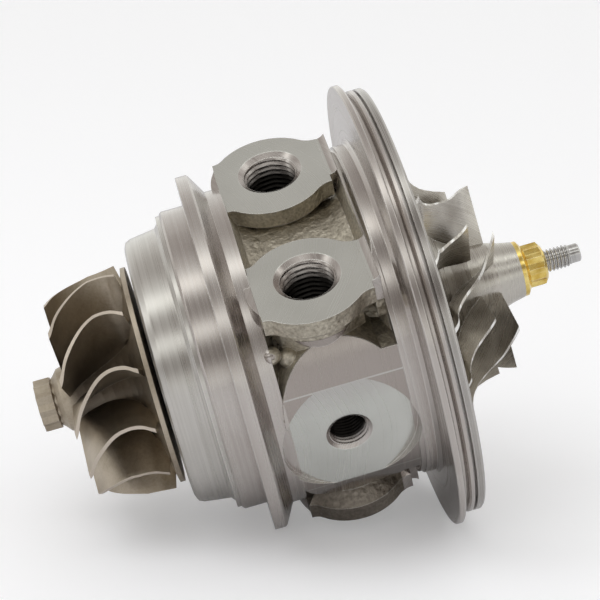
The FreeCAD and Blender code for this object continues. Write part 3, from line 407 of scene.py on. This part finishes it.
def housing_iron():
    """Cast iron: rough in the waist between the two ends, machined elsewhere."""
    s = Surface("housing_iron")
    ends, flats, barrel, machined, port_shade = housing_zones(s)
    bevelled = s.bevelled(0.25)
    fine = s.turning(8.0)
    coarse = s.turning(1.1, 4.0)
    stain = s.noise(0.05, 3.0)
    grain = s.noise(1.1, 6.0, 0.62)
    lumps = s.noise(0.33, 3.0, 0.5)

    tone = s.math("ADD", s.math("MULTIPLY", coarse, 0.5), s.math("MULTIPLY", stain, 0.5))
    bright = s.mix(s.span(tone, 0.36, 0.64), rgb(0.46, 0.42, 0.395), rgb(0.56, 0.525, 0.50))
    bright = s.mix(s.both(barrel, s.less(ends)), bright, rgb(0.39, 0.35, 0.325))
    flat_tone = s.mix(s.span(stain, 0.35, 0.65), rgb(0.60, 0.605, 0.57), rgb(0.66, 0.665, 0.63))
    # Painted shade: the oil feed's flat is painted a darker pinkish grey across one side, standing
    # in for the floor's shadow reflected in it.
    feed_flat_shade = s.both(s.level(s.z, FEED_PLANE), s.span(s.y, 8.0, 24.0, 0.0, 0.8))
    flat_tone = s.mix(feed_flat_shade, flat_tone, rgb(0.43, 0.38, 0.39))
    bright = s.mix(flats, bright, flat_tone)
    mottled = s.mix(s.span(grain, 0.34, 0.68), rgb(0.37, 0.335, 0.275), rgb(0.64, 0.595, 0.50))
    # Painted shade: the cast darkens towards the bottom, where less light reaches it.
    painted_underside_shade = s.span(s.vector("DOT_PRODUCT", s.place, UP), -10.0, -34.0, 0.0, 0.75)
    mottled = s.mix(painted_underside_shade, mottled, rgb(0.17, 0.145, 0.125))
    colour = s.mix(machined, mottled, bright)
    # Painted highlight along the sharp edges.
    colour = s.mix(s.math("MULTIPLY", s.edge(bevelled), 0.8), colour, rgb(0.78, 0.76, 0.73))
    # Painted shade: the ports' insides turn black towards their depths.
    colour = s.mix(port_shade, colour, rgb(0.012, 0.011, 0.010))

    rough_cast = s.span(grain, 0.35, 0.65, 0.58, 0.38)
    rough_cut = s.span(s.math("ADD", fine, coarse), 0.7, 1.3, 0.19, 0.30)
    cast_height = s.math("ADD", s.math("MULTIPLY", grain, 0.22), s.math("MULTIPLY", lumps, 0.7))
    cut_height = s.math("MULTIPLY", s.math("ADD", s.math("MULTIPLY", fine, 0.3), coarse), 0.015)
    height = s.part(machined, cast_height, cut_height)
    s.across_the_lines(0.6)
    return s.finish(colour, s.part(machined, rough_cast, rough_cut), s.bump(height, 0.9, bevelled))


def line_through(s, rows):
    """The radius of a line of (station, radius) rows at the shaded point's station."""
    total = rows[0][1]
    for (x0, r0), (x1, r1) in zip(rows, rows[1:]):
        total = s.math("ADD", total, s.span(s.x, x0, x1, 0.0, r1 - r0))
    return total


def turbine_alloy():
    """Investment-cast alloy: brown-grey and slightly grained, with ground blade tips, painted shade
    deep between the blades and painted highlights along the edges.
    """
    s = Surface("turbine_alloy")
    bevelled = s.bevelled(0.12)
    tip = s.span(s.math("SUBTRACT", s.r, line_through(s, TURBINE_TIPS)), -0.10, -0.04)
    tip = s.most(tip, s.span(s.x, TURBINE_EDGE_X + 0.06, TURBINE_EDGE_X + 0.02))
    tip = s.both(tip, s.span(s.r, 9.5, 10.5))
    grain = s.noise(1.6, 5.0, 0.6)
    stain = s.noise(0.09, 3.0)
    tone = s.math("ADD", s.math("MULTIPLY", grain, 0.35), s.math("MULTIPLY", stain, 0.65))
    colour = s.mix(s.span(tone, 0.38, 0.62), rgb(0.36, 0.305, 0.235), rgb(0.54, 0.475, 0.385))
    # Painted shade: the hub turns nearly black deep between the blades' roots, towards the axis.
    root = s.both(s.span(s.r, 20.0, 9.0, 0.0, 0.8), s.span(s.x, -35.0, -32.0))
    colour = s.mix(root, colour, rgb(0.07, 0.055, 0.045))
    # Painted highlight along the sharp edges.
    colour = s.mix(s.math("MULTIPLY", s.edge(bevelled), 0.5), colour, rgb(0.6, 0.56, 0.5))
    colour = s.mix(tip, colour, rgb(0.62, 0.55, 0.47))
    rough = s.span(grain, 0.35, 0.65, 0.34, 0.5)
    return s.finish(colour, rough, s.bump(grain, 0.05, bevelled))


def wheel_aluminium():
    """Milled aluminium: fine cutter steps that follow the flow, bright cut blade tips, painted
    highlights along the edges and painted shade deep towards the hub.
    """
    s = Surface("wheel_aluminium")
    bevelled = s.bevelled(0.10)
    tip = s.span(s.math("SUBTRACT", s.r, line_through(s, COMPRESSOR_TIPS)), -0.10, -0.04)
    steps = s.turning(5.0)
    stain = s.noise(0.12, 3.0)
    tone = s.math("ADD", s.math("MULTIPLY", steps, 0.3), s.math("MULTIPLY", stain, 0.7))
    colour = s.mix(s.span(tone, 0.38, 0.62), rgb(0.40, 0.37, 0.33), rgb(0.64, 0.61, 0.56))
    # Painted shade: darker deep between the blades, towards the hub and the back.
    colour = s.mix(s.both(s.span(s.r, 26.0, 13.0, 0.0, 0.5), s.span(s.x, INDUCER_X, 70.0)), colour,
                   rgb(0.16, 0.145, 0.125))
    nose = s.both(s.span(s.x, INDUCER_X + 0.1, INDUCER_X + 0.4), s.span(s.r, 12.5, 12.0))
    colour = s.mix(nose, colour, rgb(0.56, 0.535, 0.49))
    # Bright cut blade tips, and a painted highlight along the sharp edges.
    colour = s.mix(s.most(tip, s.math("MULTIPLY", s.edge(bevelled), 0.7)), colour,
                   rgb(0.92, 0.91, 0.89))
    rough = s.span(steps, 0.35, 0.65, 0.22, 0.36)
    smooth = s.less(s.math("MULTIPLY", nose, 0.8))
    return s.finish(colour, rough, s.bump(s.both(steps, smooth), 0.02, bevelled))


def yellow_zinc():
    s = Surface("nut_yellow_zinc")
    bevelled = s.bevelled(0.2)
    stain = s.noise(0.35, 3.0)
    colour = s.mix(s.span(stain, 0.35, 0.65), rgb(0.64, 0.42, 0.08), rgb(0.95, 0.76, 0.28))
    # Painted highlight along the sharp edges.
    colour = s.mix(s.edge(bevelled), colour, rgb(1.0, 0.92, 0.62))
    rough = s.span(stain, 0.35, 0.65, 0.24, 0.14)
    return s.finish(colour, rough, s.bump(s.noise(1.2, 4.0), 0.02, bevelled))


def plain_rubber():
    s = Surface("seal_rubber", metallic=0.0)
    grain = s.noise(3.0)
    colour = s.mix(grain, rgb(0.015, 0.015, 0.015), rgb(0.04, 0.04, 0.04))
    return s.finish(colour, 0.6, s.bump(grain, 0.02))


def bearing_bronze():
    return turned_steel("bearing_bronze", rgb(0.45, 0.28, 0.12), rgb(0.72, 0.50, 0.24), 0.28,
                        rgb(0.9, 0.7, 0.4), 0.4)


def add_webs():
    """Where each coolant pad's flat runs on into the shoulder, up a round cutter's run-out."""
    outline = [(WEB_START_X, WEB_BOTTOM), (WEB_END_X, WEB_BOTTOM)]
    reach = math.asin((WEB_END_X - WEB_START_X) / WEB_R)
    for k in range(WEB_STEPS, -1, -1):
        a = reach * k / WEB_STEPS
        rise = WEB_R * (1 - math.cos(a))
        outline.append((WEB_START_X + WEB_R * math.sin(a), COOLANT_PLANE + rise))
    count = len(outline)
    webs = []
    for index, (side, middle) in enumerate(WEB_MIDDLES, 1):
        points = [START + (ALONG * x + PORTS * side * y + FEED * (middle + half)) * MM
                  for half in WEB_SPAN for x, y in outline]
        faces = [tuple(range(count)), tuple(range(2 * count - 1, count - 1, -1))]
        for i in range(count):
            j = (i + 1) % count
            faces.append((i, i + count, j + count, j))
        if side < 0:
            faces = [face[::-1] for face in faces]
        mesh = bpy.data.meshes.new("pad_web_%d" % index)
        mesh.from_pydata(points, [], faces)
        mesh.validate()
        web = bpy.data.objects.new(mesh.name, mesh)
        bpy.context.scene.collection.objects.link(web)
        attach(web, "housing")
        webs.append(web)
    return webs


def thread_profile(turns):
    """The height, 0 at a root and 1 at a crest, after so many turns of a thread."""
    wave = abs(2.0 * (turns % 1.0) - 1.0)
    return min(1.0, max(0.0, (wave - THREAD_FLAT) / (1.0 - 2.0 * THREAD_FLAT)))


def lathe(name, rows, body, closed=False):
    """A piece turned about an axis: each row is a list of points all the way round."""
    count = len(rows[0])
    points = [point for row in rows for point in row]
    faces = []
    pairs = list(zip(range(len(rows)), range(1, len(rows))))
    if closed:
        pairs.append((len(rows) - 1, 0))
    for a, b in pairs:
        for i in range(count):
            j = (i + 1) % count
            faces.append((a * count + i, a * count + j, b * count + j, b * count + i))
    mesh = bpy.data.meshes.new(name)
    mesh.from_pydata(points, [], faces)
    mesh.validate()
    piece = bpy.data.objects.new(name, mesh)
    bpy.context.scene.collection.objects.link(piece)
    for face in mesh.polygons:
        face.use_smooth = True
    mesh.set_sharp_from_angle(angle=math.radians(SHARP_ANGLE))
    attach(piece, body)
    return piece


def circle(centre, across, up, radius_at):
    """Points round a centre, with a radius in millimetres that may change with the angle."""
    row = []
    for i in range(THREAD_SEGMENTS):
        turn = i / THREAD_SEGMENTS
        a = 2.0 * math.pi * turn
        row.append(centre + (across * math.cos(a) + up * math.sin(a)) * radius_at(turn) * MM)
    return row


def port_thread(name, mouth, axis, sizes):
    """The thread inside a port: a thin threaded sleeve that lines the bore."""
    nominal, crest, pitch, top, bottom = sizes
    across = axis.orthogonal().normalized()
    up = axis.cross(across)
    root = nominal - ROOT_GAP
    count = int((bottom - top) / pitch * ROWS_PER_PITCH)
    rows = []
    for k in range(count + 1):
        depth = top + (bottom - top) * k / count
        fade = min(1.0, (depth - top) / (pitch * FADE_IN))

        def radius(turn, depth=depth, fade=fade):
            height = thread_profile(depth / pitch + turn) * fade
            return root - (root - crest) * height

        rows.append(circle(mouth - axis * depth * MM, across, up, radius))
    for depth in (bottom, top):
        rows.append(circle(mouth - axis * depth * MM, across, up, lambda turn: nominal - SLEEVE_GAP))
    return lathe(name, rows, "housing", closed=True)


def add_threads():
    """The threads of the three ports and of the drain's two screw holes."""
    coolant = START + PORTS * COOLANT_PLANE * MM + ALONG * COOLANT_X * MM
    feed = START + FEED * FEED_PLANE * MM + ALONG * FEED_X * MM
    drain = START - FEED * DRAIN_PLANE * MM + ALONG * FEED_X * MM
    sleeves = [port_thread("oil_feed_thread", feed, FEED, FEED_THREAD)]
    for index, side in ((1, -1), (2, 1)):
        mouth = coolant + FEED * side * COOLANT_OFFSET * MM
        sleeves.append(port_thread("coolant_thread_%d" % index, mouth, PORTS, COOLANT_THREAD))
        mouth = drain + PORTS * side * DRAIN_BOLT_OFFSET * MM
        sleeves.append(port_thread("drain_thread_%d" % index, mouth, -FEED, DRAIN_THREAD))
    return sleeves


def add_shaft():
    """The shaft with a real thread on its end, in place of the plain one."""
    rows = []

    def plain(x, r):
        rows.append(circle(START + ALONG * x * MM, FEED, PORTS, lambda turn: max(r, AXIS_R)))

    for x, r in SHAFT_OUTLINE:
        plain(x, r)
    length = SHAFT_THREAD_END_X - SHAFT_THREAD_START_X
    count = int(length / SHAFT_PITCH * ROWS_PER_PITCH)
    for k in range(count + 1):
        x = SHAFT_THREAD_START_X + length * k / count
        fade = min(1.0, (SHAFT_THREAD_END_X - x) / SHAFT_PITCH)

        def radius(turn, x=x, fade=fade):
            height = thread_profile(x / SHAFT_PITCH - turn)
            share = SHAFT_FADE_OUT + (1.0 - SHAFT_FADE_OUT) * fade
            return SHAFT_ROOT_R + (SHAFT_THREAD_R - SHAFT_ROOT_R) * height * share

        rows.append(circle(START + ALONG * x * MM, FEED, PORTS, radius))
    for x, r in SHAFT_TAIL:
        plain(x, r)
    shaft = lathe("threaded_shaft", rows, "rotor")
    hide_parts("rotor_shaft")
    return shaft


def paint(piece, material):
    piece.data.materials.clear()
    piece.data.materials.append(material)


def add_lamp(name, place, target, size, power):
    """A square lamp that reflections don't show."""
    data = bpy.data.lights.new(name, "AREA")
    data.shape = "SQUARE"
    data.size = size
    data.energy = power
    light = bpy.data.objects.new(name, data)
    light.location = place
    light.rotation_mode = "QUATERNION"
    light.rotation_quaternion = (Vector(target) - Vector(place)).to_track_quat("-Z", "Y")
    light.visible_glossy = False
    bpy.context.scene.collection.objects.link(light)


def add_floor():
    low = cad_box[0].z
    half = FLOOR_HALF
    corners = [(-half, -half, low), (half, -half, low), (half, half, low), (-half, half, low)]
    mesh = bpy.data.meshes.new("floor")
    mesh.from_pydata(corners, [], [(0, 1, 2, 3)])
    floor = bpy.data.objects.new("floor", mesh)
    bpy.context.scene.collection.objects.link(floor)
    material = bpy.data.materials.new("floor")
    material.use_nodes = True
    tree = material.node_tree
    shader = tree.nodes["Principled BSDF"]
    shader.inputs["Base Color"].default_value = rgb(*FLOOR_COLOUR)
    shader.inputs["Roughness"].default_value = 0.7
    shader.inputs["Specular IOR Level"].default_value = 0.1
    shader.inputs["Emission Color"].default_value = rgb(1.0, 1.0, 1.0)
    rays = tree.nodes.new("ShaderNodeLightPath")
    lift = tree.nodes.new("ShaderNodeMath")
    lift.operation = "MULTIPLY"
    lift.inputs[1].default_value = FLOOR_SHEEN
    tree.links.new(rays.outputs["Is Camera Ray"], lift.inputs[0])
    tree.links.new(lift.outputs[0], shader.inputs["Emission Strength"])
    mesh.materials.append(material)


def add_world():
    """A pale studio with softboxes along the shaft, which the turned metal shows as bands.

    A direction's strength follows its angle about the shaft, counted from the camera's side
    upwards, as the bands on the photograph's turned faces show it.
    """
    world = bpy.data.worlds.new("studio")
    world.use_nodes = True
    bpy.context.scene.world = world
    tree = world.node_tree
    back = tree.nodes["Background"]

    def math_node(operation, a, b=0.0):
        node = tree.nodes.new("ShaderNodeMath")
        node.operation = operation
        for socket, value in zip(node.inputs, (a, b)):
            if isinstance(value, bpy.types.NodeSocket):
                tree.links.new(value, socket)
            else:
                socket.default_value = value
        return node.outputs[0]

    def along(direction):
        node = tree.nodes.new("ShaderNodeVectorMath")
        node.operation = "DOT_PRODUCT"
        tree.links.new(place.outputs["Generated"], node.inputs[0])
        node.inputs[1].default_value = direction
        return node.outputs["Value"]

    place = tree.nodes.new("ShaderNodeTexCoord")
    turn = math_node("ARCTAN2", along(toward(FACING_ANGLE + 90)), along(toward(FACING_ANGLE)))
    share = math_node("ADD", math_node("DIVIDE", turn, 2 * math.pi), 0.5)
    ramp = tree.nodes.new("ShaderNodeValToRGB")
    tree.links.new(share, ramp.inputs[0])
    ramp.color_ramp.interpolation = "EASE"
    stops = ramp.color_ramp.elements

    def tinted(strength):
        share = min(1.0, max(0.0, (strength - 0.3) / 0.7))
        return rgb(*(strength * (a + (b - a) * share) for a, b in zip(DIM_TINT, BRIGHT_TINT)))

    for element, (angle, strength) in zip(stops, (STUDIO[0], STUDIO[-1])):
        element.position = angle / 360 + 0.5
        element.color = tinted(strength)
    for angle, strength in STUDIO[1:-1]:
        stops.new(angle / 360 + 0.5).color = tinted(strength)
    rays = tree.nodes.new("ShaderNodeLightPath")
    shown = math_node("MAXIMUM", rays.outputs["Is Camera Ray"], rays.outputs["Is Transmission Ray"])
    pale = tree.nodes.new("ShaderNodeMix")
    pale.data_type = "RGBA"
    tree.links.new(shown, pale.inputs[0])
    tree.links.new(ramp.outputs["Color"], pale.inputs[6])
    pale.inputs[7].default_value = rgb(PALE, PALE, PALE)
    tree.links.new(pale.outputs[2], back.inputs["Color"])
    back.inputs["Strength"].default_value = 1.0


def dress():
    iron = housing_iron()
    steel = turned_steel("shaft_steel", rgb(0.42, 0.41, 0.40), rgb(0.62, 0.61, 0.60), 0.22,
                         rgb(0.85, 0.84, 0.82))
    shield = turned_steel("shield_steel", rgb(0.50, 0.48, 0.45), rgb(0.66, 0.64, 0.61), 0.30,
                          rgb(0.85, 0.83, 0.80))
    plate = turned_steel("plate_iron", rgb(0.38, 0.36, 0.34), rgb(0.58, 0.56, 0.54), 0.28,
                         rgb(0.82, 0.80, 0.77))
    spring = turned_steel("spring_steel", rgb(0.30, 0.29, 0.28), rgb(0.46, 0.45, 0.44), 0.3,
                          rgb(0.7, 0.7, 0.7))
    screws = turned_steel("screw_steel", rgb(0.20, 0.20, 0.21), rgb(0.34, 0.34, 0.35), 0.35,
                          rgb(0.6, 0.6, 0.6))
    bronze = bearing_bronze()
    finishes = {
        "bearing_housing": iron, "heat_shield": shield, "turbine_wheel": turbine_alloy(),
        "rotor_shaft": steel, "turbine_piston_ring": spring, "turbine_bearing_bush": bronze,
        "compressor_bearing_bush": bronze, "bush_retaining_rings": spring,
        "thrust_ring": steel, "thrust_bearing": bronze, "thrust_bearing_screws": screws,
        "thrust_bearing_pins": screws, "thrust_collar": steel, "oil_flinger": steel,
        "oil_deflector": spring, "compressor_piston_ring": spring, "seal_plate": plate,
        "seal_plate_oring": plain_rubber(), "seal_plate_screws": screws,
        "compressor_wheel": wheel_aluminium(), "compressor_nut": yellow_zinc(),
    }
    for node, material in finishes.items():
        paint(frame["nodes"][node], material)
    return iron, steel


add_camera()
add_floor()
add_world()
iron, steel = dress()
for piece in add_threads() + add_webs():
    paint(piece, iron)
paint(add_shaft(), steel)

centre = (cad_box[0] + cad_box[1]) / 2
add_lamp("key", centre + KEY_OFFSET, centre, KEY_SIZE, KEY_POWER)

bpy.context.scene.view_settings.view_transform = "Standard"
